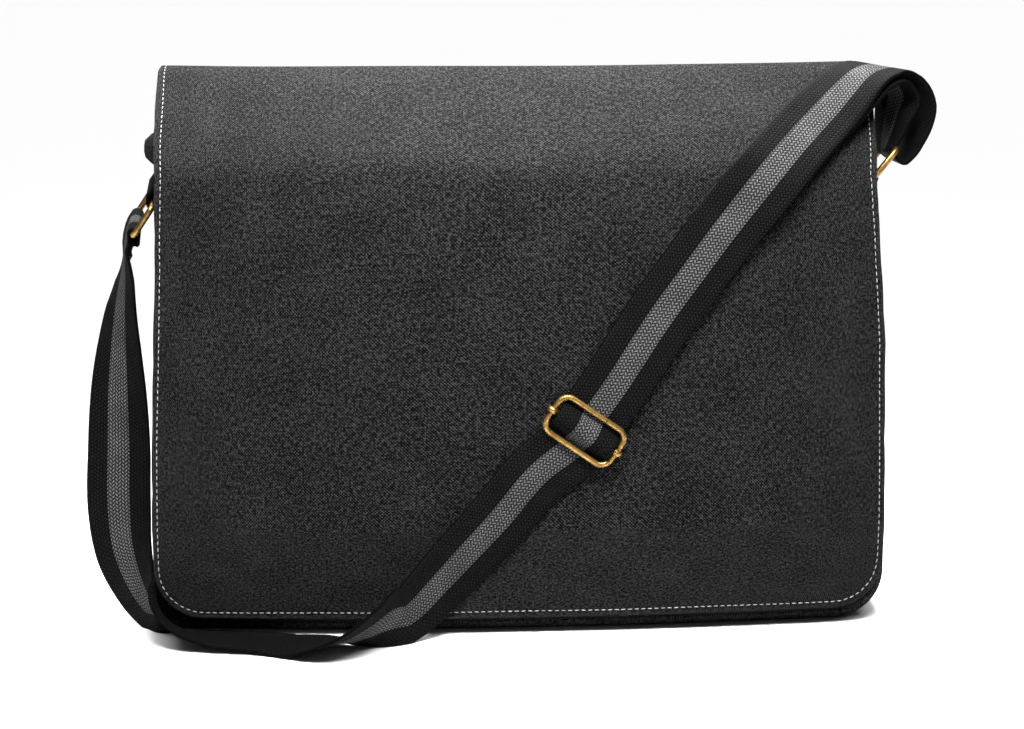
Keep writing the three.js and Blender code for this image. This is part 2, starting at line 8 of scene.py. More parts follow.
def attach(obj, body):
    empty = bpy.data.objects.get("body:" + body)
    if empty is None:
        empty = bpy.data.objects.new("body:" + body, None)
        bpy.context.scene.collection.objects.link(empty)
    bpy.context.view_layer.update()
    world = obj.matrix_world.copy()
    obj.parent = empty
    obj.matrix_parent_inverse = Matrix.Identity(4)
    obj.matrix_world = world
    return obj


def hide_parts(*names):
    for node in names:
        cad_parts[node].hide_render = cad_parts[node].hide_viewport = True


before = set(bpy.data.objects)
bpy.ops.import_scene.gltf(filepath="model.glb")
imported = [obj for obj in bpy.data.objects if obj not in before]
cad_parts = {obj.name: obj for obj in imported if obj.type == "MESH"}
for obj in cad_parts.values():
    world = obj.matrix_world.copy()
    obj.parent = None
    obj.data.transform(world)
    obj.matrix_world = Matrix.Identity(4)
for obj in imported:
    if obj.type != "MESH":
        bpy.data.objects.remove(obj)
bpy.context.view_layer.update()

# Gusset: one long strip of washed cotton canvas that makes the left side, the base and the right side.
# It is sewn inside out to both panels, so its edges roll in to a groove, and its slack top folds out
# at the left under the flap. Sizes here and below are in millimetres, and those of a finish in metres.
MM = 0.001
CANVAS = 2.0
SEAM_GAP = 0.5
SEAM_ROLL = 5.0
BASE_HALF_WIDTH, TOP_HALF_WIDTH = 202.0, 192.0
LEFT_CORNER, RIGHT_CORNER = 17.0, 27.0
TAPER_FROM, TAPER_TO, LEFT_SAG, RIGHT_SAG = 40.0, 240.0, 1.2, 4.0
FRONT_SIDE, FRONT_SWELL, FRONT_BASE_SWELL, BASE_ROUND = 38.0, 16.5, 12.0, 28.0
BACK_SIDE, BACK_SWELL, SWELL_POWER = 38.0, 6.5, 2.2
LEAN_FROM, LEAN_SIDE, LEAN_MIDDLE, GUSSET_TOP = 208.0, 23.0, 6.0, 275.0
FOLD_FOOT, FOLD_HEIGHT, FOLD_REACH, FOLD_HALF_HEIGHT = 251.5, 264.0, 12.5, 10.0
FOLD_MIDDLE, FOLD_HALF_DEPTH, FOLD_RISE = 4.0, 17.0, 4.0
SLACK_FROM, SLACK_FULL, SLACK_TO, SLACK_DEPTH, SLACK_DENT = 30.0, 120.0, 225.0, 1.6, 1.4
CANVAS_SHADE, CANVAS_COOL, CLOTH_SHEEN = 0.0088, 1.01, 0.05
WEAVE_PITCH, WEAVE_CONTRAST, TWILL_SHARE, HEM_PALER = 0.00155, 0.42, 0.6, 0.28
WARP_SLUB, WEFT_SLUB = (1050.0, 420.0, 1.0), (450.0, 1100.0, 1.0)
SLUB_CONTRAST, SLUB_LEVEL = 2.0, -1.55
FADE_SCALE, FADE_CONTRAST, FLECK_SCALE, FLECK_PALER = 34.0, 0.6, 800.0, 0.4
CANVAS_TONES = (
    # place along the ramp, share of the shade
    (0.0, 0.1),
    (0.35, 0.5),
    (0.6, 1.05),
    (1.0, 3.2),
)


def mix(a, b, share):
    return a + (b - a) * share


def ease(value, start, end):
    share = min(max((value - start) / (end - start), 0.0), 1.0)
    return share * share * (3.0 - 2.0 * share)


def half_width(z):
    return mix(BASE_HALF_WIDTH, TOP_HALF_WIDTH, ease(z, TAPER_FROM, TAPER_TO))


def corner_inset(height, radius):
    short = max(radius - height, 0.0)
    return radius - math.sqrt(max(radius * radius - short * short, 0.0))


def swell(x):
    return 1.0 - abs(x / BASE_HALF_WIDTH) ** SWELL_POWER


def sagged(x, z):
    """The slack sides sag outward, the right one more, and most of all low down."""
    reach = LEFT_SAG if x < 0.0 else RIGHT_SAG
    return x + reach * x / BASE_HALF_WIDTH * (1.0 - ease(z, TAPER_FROM, TAPER_TO))


def front_depth(x, z):
    round_in = mix(FRONT_BASE_SWELL, FRONT_SWELL, ease(z, 0.0, BASE_ROUND))
    lean = ease(z, LEAN_FROM, GUSSET_TOP) * (LEAN_SIDE + LEAN_MIDDLE * swell(x))
    return -(FRONT_SIDE + round_in * swell(x)) + lean


def back_depth(x):
    return BACK_SIDE + BACK_SWELL * swell(x)


def roll(distance):
    """How far a sewn edge sinks at a distance from its seam."""
    return corner_inset(max(distance, 0.0), SEAM_ROLL)


def soft_dent(a, b, c):
    """A gentle, fixed unevenness of slack cloth, from -1 to 1."""
    first = math.sin(a * 0.031 + 1.3 * math.sin(b * 0.017 + c))
    second = math.sin(b * 0.043 + 1.1 * math.sin(a * 0.023 - 2.0 * c) + c)
    return 0.5 * first + 0.5 * second


def make_piece(bm, name, *finishes):
    """The mesh worked out so far, as a smooth piece with its finishes."""
    mesh = bpy.data.meshes.new(name)
    bm.to_mesh(mesh)
    bm.free()
    mesh.shade_smooth()
    for finish in finishes:
        mesh.materials.append(finish)
    piece = bpy.data.objects.new(name, mesh)
    bpy.context.collection.objects.link(piece)
    return piece


def lay_cloth(name, columns, rows, place, cut, thickness, offset, *finishes):
    """A woven piece: a grid laid in place row by row, with the cloth's own measure as its UV map.
    A second finish is that of its reverse side."""
    bm = bmesh.new()
    weave = bm.loops.layers.uv.new("weave")
    bmesh.ops.create_grid(bm, x_segments=columns, y_segments=rows, size=0.5)
    for face in bm.faces:
        for loop in face.loops:
            u, v = loop.vert.co.x, loop.vert.co.y + 0.5
            loop[weave].uv = (u * cut[0], v * cut[1])
    for vert in bm.verts:
        vert.co = Vector(place(vert.co.x + 0.5, vert.co.y + 0.5)) * MM
    piece = make_piece(bm, name, *finishes)
    wall = piece.modifiers.new("cloth thickness", "SOLIDIFY")
    wall.thickness = thickness * MM
    wall.offset = offset
    wall.material_offset = len(finishes) - 1
    return piece


def add_node(finish, kind, inputs, **settings):
    """One node of a finish: sockets in inputs are linked, plain values are set."""
    made = finish.node_tree.nodes.new(kind)
    for key, value in settings.items():
        setattr(made, key, value)
    for key, value in inputs.items():
        if isinstance(value, bpy.types.NodeSocket):
            finish.node_tree.links.new(value, made.inputs[key])
        else:
            made.inputs[key].default_value = value
    return made.outputs[0]


def maths(finish, operation, first, second=0.0, third=0.0):
    """One step of arithmetic in a finish."""
    return add_node(finish, "ShaderNodeMath", {0: first, 1: second, 2: third}, operation=operation)


def noise(finish, vector, scale, detail, roughness=0.5):
    return add_node(finish, "ShaderNodeTexNoise",
                    {"Vector": vector, "Scale": scale, "Detail": detail, "Roughness": roughness})


def spread_over(finish, value, low, high, at_low, at_high):
    """A value mapped from low..high to at_low..at_high, and held at those ends."""
    return add_node(finish, "ShaderNodeMapRange", {0: value, 1: low, 2: high, 3: at_low, 4: at_high})


def tone_ramp(finish, factor, stops):
    """Colours along a ramp, each stop a place and a colour."""
    ramp = finish.node_tree.nodes.new("ShaderNodeValToRGB")
    while len(ramp.color_ramp.elements) < len(stops):
        ramp.color_ramp.elements.new(0.5)
    for stop, (position, colour) in zip(ramp.color_ramp.elements, stops):
        stop.position = position
        stop.color = (*colour, 1.0)
    finish.node_tree.links.new(factor, ramp.inputs[0])
    return ramp.outputs[0]


def weave_map(finish):
    """The cloth's own measure: as a vector, across and along."""
    uv = add_node(finish, "ShaderNodeUVMap", {}, uv_map="weave")
    split = finish.node_tree.nodes.new("ShaderNodeSeparateXYZ")
    finish.node_tree.links.new(uv, split.inputs[0])
    return uv, split.outputs[0], split.outputs[1]


def new_finish(name):
    finish = bpy.data.materials.new(name)
    finish.use_nodes = True
    return finish, finish.node_tree.nodes["Principled BSDF"]


def set_finish(finish, shader, links, **values):
    """Links the worked-out sockets to a shader and sets its plain values."""
    for key, socket in links.items():
        finish.node_tree.links.new(socket, shader.inputs[key])
    for key, value in values.items():
        shader.inputs[key.replace("_", " ")].default_value = value


def washed_canvas(name, shade, hem=None):
    """Stone-washed canvas: a close weave of crossed threads, slubs, pale flecks and a mottled fading.
    A hem, given as the half width that it edges and its own width, is paler: rubbed paler on the flap,
    and a painted highlight on the gusset's rolled edges, where they catch light."""
    finish, cloth = new_finish(name)
    uv, across, along = weave_map(finish)
    warp = add_node(finish, "ShaderNodeVectorMath", {0: uv, 1: WARP_SLUB}, operation="MULTIPLY")
    weft = add_node(finish, "ShaderNodeVectorMath", {0: uv, 1: WEFT_SLUB}, operation="MULTIPLY")
    slub = maths(finish, "ADD", noise(finish, warp, 1.0, 1.0), noise(finish, weft, 1.0, 1.0))
    turns = 2.0 * math.pi / WEAVE_PITCH
    over = maths(finish, "SINE", maths(finish, "MULTIPLY", across, turns))
    under = maths(finish, "SINE", maths(finish, "MULTIPLY", along, turns))
    slant = maths(finish, "MULTIPLY", maths(finish, "ADD", across, along), turns)
    crossed = maths(finish, "MULTIPLY", over, under)
    weave = maths(finish, "MULTIPLY_ADD", maths(finish, "SINE", slant), TWILL_SHARE, crossed)
    tone = maths(finish, "MULTIPLY_ADD", slub, SLUB_CONTRAST, SLUB_LEVEL)
    tone = maths(finish, "MULTIPLY_ADD", weave, WEAVE_CONTRAST, tone)
    fade = noise(finish, uv, FADE_SCALE, 5.0, 0.62)
    level = maths(finish, "ADD", tone, -FADE_CONTRAST / 2.0)
    tone = maths(finish, "MULTIPLY_ADD", fade, FADE_CONTRAST, level)
    fleck = noise(finish, uv, FLECK_SCALE, 1.0)
    tone = maths(finish, "ADD", tone, spread_over(finish, fleck, 0.66, 0.8, 0.0, FLECK_PALER))
    if hem:
        from_side = maths(finish, "SUBTRACT", hem[0], maths(finish, "ABSOLUTE", across))
        from_edge = maths(finish, "MINIMUM", from_side, along)
        tone = maths(finish, "ADD", tone, spread_over(finish, from_edge, 0.0, hem[1], HEM_PALER, 0.0))
    stops = [(position, (shade * share, shade * share, shade * share * CANVAS_COOL))
             for position, share in CANVAS_TONES]
    height = maths(finish, "MULTIPLY_ADD", weave, 0.35, slub)
    bump = add_node(finish, "ShaderNodeBump", {"Strength": 0.5, "Distance": 0.0003, "Height": height})
    set_finish(finish, cloth, {"Base Color": tone_ramp(finish, tone, stops), "Normal": bump},
               Roughness=0.92, Specular_IOR_Level=CLOTH_SHEEN)
    return finish


def body_outline(share):
    """A place along the gusset, from the left top down, along the base and up to the right top."""
    left, right = (GUSSET_TOP + BASE_HALF_WIDTH + corner * (math.pi / 2.0 - 2.0)
                   for corner in (LEFT_CORNER, RIGHT_CORNER))
    along = share * (left + right)
    mirrored = along > left
    corner = RIGHT_CORNER if mirrored else LEFT_CORNER
    side, turn = GUSSET_TOP - corner, corner * math.pi / 2.0
    if mirrored:
        along = left + right - along
    if along < side:
        z = GUSSET_TOP - along
        x = half_width(z)
    elif along < side + turn:
        angle = (along - side) / corner
        x = BASE_HALF_WIDTH - corner * (1.0 - math.cos(angle))
        z = corner * (1.0 - math.sin(angle))
    else:
        x = BASE_HALF_WIDTH - corner - (along - side - turn)
        z = 0.0
    return (x if mirrored else -x), z


def gusset_place(u, v):
    x, z = body_outline(v)
    ahead_x, ahead_z = body_outline(min(v + 0.002, 1.0))
    behind_x, behind_z = body_outline(max(v - 0.002, 0.0))
    inward = Vector((behind_z - ahead_z, 0.0, ahead_x - behind_x)).normalized()
    front = front_depth(x, z) + CANVAS + SEAM_GAP
    back = back_depth(x) - CANVAS - SEAM_GAP
    y = mix(front, back, u)
    sink = roll(min(y - front, back - y))
    slack = ease(z, SLACK_FROM, SLACK_FULL) * (1.0 - ease(z, SLACK_TO, FOLD_FOOT)) * math.sin(math.pi * u)
    sink += slack * (SLACK_DEPTH + SLACK_DENT * soft_dent(z * 1.6, y * 2.0, 0.7 if x < 0 else 2.9))
    up, aside = (z - FOLD_HEIGHT) / FOLD_HALF_HEIGHT, (y - FOLD_MIDDLE) / FOLD_HALF_DEPTH
    if x < 0.0:
        rise = ease(z, FOLD_FOOT, FOLD_FOOT + FOLD_RISE)
        sink -= FOLD_REACH * math.exp(-up ** 4 - aside * aside) * rise
    return Vector((sagged(x, z), y, z)) + inward * sink


# Painted highlight: the gusset's rolled edges are made paler where they catch light beside the flap.
gusset_canvas_painted_highlight = washed_canvas("gusset canvas with painted highlight", CANVAS_SHADE, hem=(0.045, 0.009))
gusset = lay_cloth("gusset_cloth", 44, 300, gusset_place, (0.09, 0.94), CANVAS, -1.0, gusset_canvas_painted_highlight)
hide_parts("gusset")
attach(gusset, "root")

# Front panel: the bulging front of the body, sewn to the gusset along its sides and base. Its canvas
# is darkened far below the rest as painted shade for the shadow under the flap. Only its lower edge
# shows under the flap; its slack top leans back.
FRONT_TOP, FRONT_PAINTED_SHADE = 258.0, 0.005
SEAM_SINK, RIPPLE, RIPPLE_FROM, RIPPLE_FULL = 0.9, 0.5, 4.0, 40.0


def even_column(u):
    """Grid columns set closer at both sides, from -1 to 1."""
    side = 2.0 * u - 1.0
    return side * (1.25 - 0.25 * side * side)


def panel_place(top, depth, lean_out):
    """Where the cloth of a panel lies; its rows are closer near the base, and its seams roll inward."""
    def place(u, v):
        z = mix(SEAM_ROLL, top, v * (0.6 + 0.4 * v))
        side = even_column(u) * lean_out
        corner = LEFT_CORNER if side < 0.0 else RIGHT_CORNER
        inner, short = corner - SEAM_ROLL, max(corner - z, 0.0)
        half = half_width(z) - corner + math.sqrt(max(inner * inner - short * short, 0.0))
        x = half * side
        edge = min(half - abs(x), z - SEAM_ROLL, inner)
        aside = abs(x) - BASE_HALF_WIDTH + corner
        if short > 0.0 and aside > 0.0:
            edge = inner - math.hypot(aside, short)
        ripple = RIPPLE * soft_dent(x, z, 4.0 + lean_out) * ease(edge, RIPPLE_FROM, RIPPLE_FULL)
        return sagged(x, z), depth(x, z) + lean_out * SEAM_SINK * roll(edge) + ripple, z
    return place


front_place = panel_place(FRONT_TOP, front_depth, 1.0)
# Painted shade: the front panel's canvas is made nearly black to stand in for the shadow under the flap.
front_canvas_painted_shade = washed_canvas("front canvas with painted shade", FRONT_PAINTED_SHADE)
front = lay_cloth("front_cloth", 130, 110, front_place, (0.404, 0.26), CANVAS, -1.0, front_canvas_painted_shade)
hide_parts("front_panel")
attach(front, "root")

# Back panel: the plain canvas back of the body, sewn to the gusset like the front and a little higher,
# so that the flap's hem laps over its top.
BACK_TOP = 286.0
charcoal_canvas = washed_canvas("charcoal canvas", CANVAS_SHADE)
back_place = panel_place(BACK_TOP, lambda x, z: back_depth(x), -1.0)
back = lay_cloth("back_cloth", 110, 100, back_place, (0.404, 0.286), CANVAS, -1.0, charcoal_canvas)
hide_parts("back_panel")
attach(back, "root")

# Flap: one large piece of canvas sewn to the back near its top, laid over the slack top and hanging
# down the whole front. Its edges are turned in and topstitched with pale thread, which puckers them.
# Rows run along its middle from the bottom hem over the top to the back hem.
FLAP_CANVAS, FLAP_CORNER, FLAP_EDGE_POWER = 2.2, 27.0, 2.2
FLAP_ROWS = (
    # y, z, left reach, right reach, edges behind the middle
    (-57.5, 10.0, 201.8, 202.3, 11.0),
    (-58.5, 60.0, 202.2, 203.0, 12.0),
    (-58.5, 110.0, 201.0, 201.7, 12.0),
    (-58.5, 160.0, 199.0, 200.7, 12.0),
    (-58.0, 205.0, 197.0, 197.2, 12.0),
    (-54.5, 236.0, 196.5, 195.2, 10.0),
    (-44.5, 257.0, 196.5, 194.5, 6.0),
    (-27.0, 273.0, 197.5, 196.5, 3.0),
    (0.0, 291.0, 197.0, 198.5, 1.0),
    (23.0, 302.8, 197.0, 197.5, -1.5),
    (36.0, 305.0, 196.5, 196.5, -1.5),
    (45.0, 298.5, 196.0, 196.0, 1.0),
    (47.0, 284.0, 195.0, 195.5, 6.0),
    (47.0, 248.0, 195.0, 195.0, 6.0),
)
FLAP_LAST = len(FLAP_ROWS) - 1
HEM_STEP, FLAP_STEP, CREST_EASE_IN, CREST_EASE_OUT = 1.1, 2.4, 1.5, 1.0
GROOVE_DEPTH, GROOVE_UNEVEN, GROOVE_HALF = 0.45, 0.12, 1.1
RIM_HEIGHT, RIM_AT, RIM_HALF = 0.25, 1.3, 1.2
FLAP_DENT, LONG_WAVE, SHORT_WAVE = 0.3, 0.3, 0.2
STITCH_LEFT, STITCH_LEFT_TOP, STITCH_BOTTOM, STITCH_RIGHT = 2.6, 3.7, 3.6, 2.9
STITCH_WIDEN_FROM, STITCH_WIDEN_TO = 200.0, 300.0
STITCH_PITCH, STITCH_LENGTH, THREAD = 3.7, 2.8, 0.58
STITCH_LEAN, STITCH_SWAY, STITCH_WANDER, STITCH_PROUD = 0.07, 0.05, 0.14, 0.02
HEM_WALK, HEM_TOP_GAP, CORNER_STEPS, BOTTOM_STEPS = 1.2, 2.0, 24, 340
CREST_FROM, CREST_TO, CREST_ROUND = 8.6, 12.0, 2.4


def smooth_line(points, place, even=False):
    """A smooth curve through points, at a place counted in points."""
    last = len(points) - 1
    index = min(max(int(place), 0), last - 1)
    share = place - index
    p1, p2 = points[index], points[index + 1]
    p0 = points[index - 1] if index > 0 else 2.0 * p1 - p2
    p3 = points[index + 2] if index < last - 1 else 2.0 * p2 - p1
    t0, t1, t2 = (1.0 if even else max((b - a).length, 1e-6) ** 0.5
                  for a, b in ((p0, p1), (p1, p2), (p2, p3)))
    leave = ((p1 - p0) / t0 - (p2 - p0) / (t0 + t1) + (p2 - p1) / t1) * t1
    arrive = ((p2 - p1) / t1 - (p3 - p1) / (t1 + t2) + (p3 - p2) / t2) * t1
    square, cube = share * share, share ** 3
    return (p1 * (2 * cube - 3 * square + 1) + leave * (cube - 2 * square + share)
            + p2 * (3 * square - 2 * cube) + arrive * (cube - square))


flap_line = [Vector((0.0, row[0], row[1])) for row in FLAP_ROWS]


def flap_column(place, column):
    index = min(int(place), FLAP_LAST - 1)
    return mix(FLAP_ROWS[index][column], FLAP_ROWS[index + 1][column], place - index)


def flap_reach(place, side):
    return flap_column(place, 2 if side < 0 else 3)


def flap_frame(place, x):
    """A point of the flap's outer face and the direction into the bag there."""
    ahead, behind = min(place + 0.02, FLAP_LAST), max(place - 0.02, 0.0)
    run = smooth_line(flap_line, ahead) - smooth_line(flap_line, behind)
    inward = Vector((0.0, run.z, -run.y)).normalized()
    bend = flap_column(place, 4) * abs(x / flap_reach(place, x)) ** FLAP_EDGE_POWER
    return smooth_line(flap_line, place) + Vector((x, 0.0, 0.0)) + inward * bend, inward


def flap_side(place, height, side, inset):
    """How far the flap's edge, or a line inset from it, lies from the middle."""
    reach = flap_reach(place, side)
    short = max(FLAP_CORNER - height, 0.0)
    inner = FLAP_CORNER - inset
    return reach - FLAP_CORNER + math.sqrt(max(inner * inner - short * short, 0.0))


def pucker(distance, along):
    """Relief of the topstitched hem: a plump rim, a groove under the thread, then flat cloth."""
    groove = math.exp(-((distance - STITCH_RIGHT) / GROOVE_HALF) ** 2)
    rim = math.exp(-((distance - RIM_AT) / RIM_HALF) ** 2)
    return groove * (GROOVE_DEPTH + GROOVE_UNEVEN * math.sin(along * 0.53)) - rim * RIM_HEIGHT


# Grid rows, close at the hem and even along the cloth: their places in flap rows and along the cloth.
flap_places = []
for index in range(FLAP_LAST):
    length = (flap_line[index + 1] - flap_line[index]).length
    steps = max(3, round(length / (HEM_STEP if index == 0 else FLAP_STEP)))
    flap_places += [index + step / steps for step in range(steps)]
flap_places.append(float(FLAP_LAST))
flap_along = [0.0]
for before, after in zip(flap_places, flap_places[1:]):
    step = smooth_line(flap_line, after) - smooth_line(flap_line, before)
    flap_along.append(flap_along[-1] + step.length)


def flap_place(u, v):
    row = round(v * (len(flap_places) - 1))
    place, along = flap_places[row], flap_along[row]
    share = even_column(u)
    half = flap_side(place, along, share, 0.0)
    x = share * half
    point, inward = flap_frame(place, x)
    edge = min(half - abs(x), along, flap_along[-1] - along)
    if along < FLAP_CORNER and abs(x) > flap_reach(place, share) - FLAP_CORNER:
        across = abs(x) - flap_reach(place, share) + FLAP_CORNER
        edge = FLAP_CORNER - math.hypot(across, FLAP_CORNER - along)
    sag = FLAP_DENT * soft_dent(x * 1.1, along * 0.9, 2.0) * ease(edge, 3.0, 60.0)
    wave = LONG_WAVE * math.sin(along * 0.045 + (0.0 if share < 0 else 2.0))
    wave += SHORT_WAVE * math.sin(along * 0.13)
    point.x += math.copysign(wave * ease(abs(share), 0.9, 1.0), share) * ease(along, 20.0, 60.0)
    crest = ease(place, CREST_FROM, CREST_FROM + CREST_EASE_IN)
    crest *= 1.0 - ease(place, CREST_TO - CREST_EASE_OUT, CREST_TO)
    rounded = crest * corner_inset(half - abs(x), CREST_ROUND)
    return point + inward * (pucker(edge, along + x) * (1.0 - crest) + sag + rounded)


hemmed_canvas = washed_canvas("hemmed canvas", CANVAS_SHADE, hem=(0.2, 0.0035))
flap = lay_cloth("flap_cloth", 190, len(flap_places) - 1, flap_place, (0.4, 0.406), FLAP_CANVAS, -1.0,
                 hemmed_canvas)
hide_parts("flap")
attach(flap, "root")


def object_place(finish):
    return finish.node_tree.nodes.new("ShaderNodeTexCoord").outputs["Object"]


THREAD_TONES = ((0.3, (0.20, 0.20, 0.195)), (0.7, (0.38, 0.376, 0.364)))
pale_thread, thread_shader = new_finish("pale thread")
twist = noise(pale_thread, object_place(pale_thread), 420.0, 3.0)
set_finish(pale_thread, thread_shader, {"Base Color": tone_ramp(pale_thread, twist, THREAD_TONES)},
           Roughness=0.8)


def place_at_height(height):
    """Place in flap rows of a height along the cloth above the bottom hem."""
    low, high = 0, len(flap_along) - 1
    while high - low > 1:
        middle = (low + high) // 2
        low, high = (middle, high) if flap_along[middle] < height else (low, middle)
    share = (height - flap_along[low]) / (flap_along[high] - flap_along[low])
    return mix(flap_places[low], flap_places[high], min(max(share, 0.0), 1.0))


def hem_line():
    """The line of topstitching: down the left edge, round the bottom and up the right edge."""
    rise = FLAP_CORNER - STITCH_BOTTOM
    top = flap_along[-1] - HEM_TOP_GAP
    heights = [top - HEM_WALK * step for step in range(int((top - FLAP_CORNER) / HEM_WALK) + 1)]
    widen = [ease(h, STITCH_WIDEN_FROM, STITCH_WIDEN_TO) for h in heights]
    left = [(flap_side(place_at_height(h), h, -1, mix(STITCH_LEFT, STITCH_LEFT_TOP, share)), h)
            for h, share in zip(heights, widen)]
    right = [(flap_side(place_at_height(h), h, 1, STITCH_RIGHT), h) for h in heights]
    arc = [step * math.pi / 2.0 / CORNER_STEPS for step in range(1, CORNER_STEPS)]
    reach_left, reach_right = FLAP_ROWS[0][2] - FLAP_CORNER, FLAP_ROWS[0][3] - FLAP_CORNER
    line = [(-x, h) for x, h in left]
    aside_left, aside_right = FLAP_CORNER - STITCH_LEFT, FLAP_CORNER - STITCH_RIGHT
    line += [(-reach_left - aside_left * math.cos(a), FLAP_CORNER - rise * math.sin(a)) for a in arc]
    line += [(mix(-reach_left, reach_right, step / BOTTOM_STEPS), STITCH_BOTTOM)
             for step in range(BOTTOM_STEPS + 1)]
    line += [(reach_right + aside_right * math.sin(a), FLAP_CORNER - rise * math.cos(a)) for a in arc]
    line += list(reversed(right))
    points = []
    for x, h in line:
        point, inward = flap_frame(place_at_height(h), x)
        points.append((point, -inward))
    return points


def sew(name, line, pitch, length, thread, finish):
    """A row of stitches along a line of points with their outward directions."""
    bm = bmesh.new()
    travelled, due, count = 0.0, pitch / 2.0, 0
    for (here, out), (there, _) in zip(line, line[1:]):
        step = (there - here).length
        while step > 0.0 and due <= travelled + step:
            along = (there - here).normalized()
            side = out.cross(along).normalized()
            lean = STITCH_LEAN * math.sin(count * 2.4) + STITCH_SWAY * math.sin(count * 0.37)
            aim = (along + side * lean).normalized()
            across = out.cross(aim).normalized()
            middle = here + along * (due - travelled) + out * STITCH_PROUD
            middle += side * STITCH_WANDER * math.sin(count * 0.21)
            axes = Matrix((aim * length, across * thread, out * thread)).transposed() * (0.5 * MM)
            matrix = Matrix.Translation(middle * MM) @ axes.to_4x4()
            bmesh.ops.create_uvsphere(bm, u_segments=6, v_segments=5, radius=1.0, matrix=matrix)
            due += pitch
            count += 1
        travelled += step
    bmesh.ops.recalc_face_normals(bm, faces=bm.faces)
    return make_piece(bm, name, finish)


flap_stitching = sew("flap_stitching", hem_line(), STITCH_PITCH, STITCH_LENGTH, THREAD, pale_thread)
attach(flap_stitching, "root")

# Tabs: short folded lengths of black webbing, both ends sewn to the top of the gusset, each holding a
# ring in its fold. They sit half under the flap's edges.
WIRE, WIRE_GAP = 3.5, 0.3
TAB_WIDTH, TAB_THICK, TAB_GAP, LAYER_GAP = 34.0, 1.8, 0.5, 0.4
WEB_COLUMN, WEB_ROW, WEB_SLANT, STRIPE_BLUR = 0.0019, 0.0021, 0.7, 0.0002
BLACK_TONES = ((0.0008, 0.0008, 0.0009), (0.0145, 0.0142, 0.014))
FUZZ_SCALE, FUZZ_CONTRAST, WEAR_SCALE, WEAR_CONTRAST = 1100.0, 0.45, 60.0, 0.35
DASH_CONTRAST, DASH_LEVEL, NO_STRIPE = 0.62, -0.45, 0.00001
RING_LONG, RING_SHORT = 42.0, 17.0
RINGS = {
    "left": {"side": -1, "top": 251.0, "tab_bar": (-199.5, 6.5, 238.0), "reach": (-0.545, 0.0, -0.838),
             "bar": (0.0, -0.989, -0.15), "heading": (-0.3, 0.15, -0.94)},
    "right": {"side": 1, "top": 260.0, "tab_bar": (198.0, 8.0, 244.0), "reach": (0.63, 0.0, 0.777),
              "bar": (0.0, 0.993, -0.12), "heading": (-0.83, -0.05, 0.55)},
}


def square_to(direction, axis):
    direction = Vector(direction)
    return (direction - axis * direction.dot(axis)).normalized()


def fold_round(centre, axis, start, past, thick, turn=math.pi, steps=14):
    """Stations of a band folded round a wire: middle, direction across, outward direction."""
    radius = WIRE / 2.0 + WIRE_GAP + thick / 2.0
    stations = []
    for step in range(steps + 1):
        angle = turn * step / steps
        out = start * math.cos(angle) + past * math.sin(angle)
        stations.append((centre + out * radius, axis, out, 1.0))
    return stations


def lay_band(name, stations, width, thick, columns, *finishes):
    """A band of webbing laid along stations, its striped face outward, with its own measure as UV."""
    length = [0.0]
    for before, after in zip(stations, stations[1:]):
        length.append(length[-1] + (after[0] - before[0]).length)
    last = len(stations) - 1

    def place(u, v):
        at, across, _, share = stations[round(v * last)]
        side = 1.0 - 2.0 * u
        return at + across * (side * share * width / 2.0)

    piece = lay_cloth(name, columns, last, place, (width * MM, length[-1] * MM), thick, 0.0, *finishes)
    for loop in piece.data.uv_layers["weave"].data:
        loop.uv.y = length[round(loop.uv.y / (length[-1] * MM) * last)] * MM
    return piece, length[-1]


def mix_colours(finish, factor, first, second):
    """Two colours, or sockets that give colours, mixed by a factor."""
    mixer = finish.node_tree.nodes.new("ShaderNodeMix")
    mixer.data_type = "RGBA"
    for socket, value in zip((mixer.inputs[0], mixer.inputs[6], mixer.inputs[7]), (factor, first, second)):
        if isinstance(value, bpy.types.NodeSocket):
            finish.node_tree.links.new(value, socket)
        else:
            socket.default_value = (*value, 1.0)
    return mixer.outputs[2]


def herringbone(name, stripe_half, black, grey):
    """Cotton webbing: columns of slanted dashes that turn at each column, a pale stripe in the middle."""
    finish, band = new_finish(name)
    uv, across, along = weave_map(finish)
    column = maths(finish, "MULTIPLY", across, 1.0 / WEB_COLUMN)
    within = maths(finish, "FRACT", column)
    turned = maths(finish, "PINGPONG", column, 1.0)
    brick = maths(finish, "MODULO", maths(finish, "FLOOR", maths(finish, "ADD", column, 100.0)), 2.0)
    offset = maths(finish, "MULTIPLY_ADD", turned, WEB_SLANT, maths(finish, "MULTIPLY", brick, 0.5))
    row = maths(finish, "MULTIPLY_ADD", along, 1.0 / WEB_ROW, offset)
    dash = maths(finish, "SINE", maths(finish, "MULTIPLY", row, 2.0 * math.pi))
    plump = spread_over(finish, dash, -0.55, 0.55, 0.0, 1.0)
    groove = maths(finish, "SINE", maths(finish, "MULTIPLY", within, math.pi))
    relief = maths(finish, "MULTIPLY", plump, groove)
    fuzz, wear = noise(finish, uv, FUZZ_SCALE, 2.0), noise(finish, uv, WEAR_SCALE, 4.0)
    level = maths(finish, "MULTIPLY_ADD", relief, DASH_CONTRAST, DASH_LEVEL)
    level = maths(finish, "MULTIPLY_ADD", fuzz, FUZZ_CONTRAST, level)
    level = maths(finish, "MULTIPLY_ADD", wear, WEAR_CONTRAST, level)
    from_middle = maths(finish, "ABSOLUTE", across)
    stripe = spread_over(finish, from_middle, stripe_half - STRIPE_BLUR, stripe_half + STRIPE_BLUR, 1.0, 0.0)
    colour = mix_colours(finish, stripe, *(mix_colours(finish, level, *tones) for tones in (black, grey)))
    bump = add_node(finish, "ShaderNodeBump", {"Strength": 0.7, "Distance": 0.0004, "Height": relief})
    set_finish(finish, band, {"Base Color": colour, "Normal": bump},
               Roughness=0.85, Specular_IOR_Level=CLOTH_SHEEN)
    return finish


plain_webbing = herringbone("black webbing", NO_STRIPE, BLACK_TONES, BLACK_TONES)


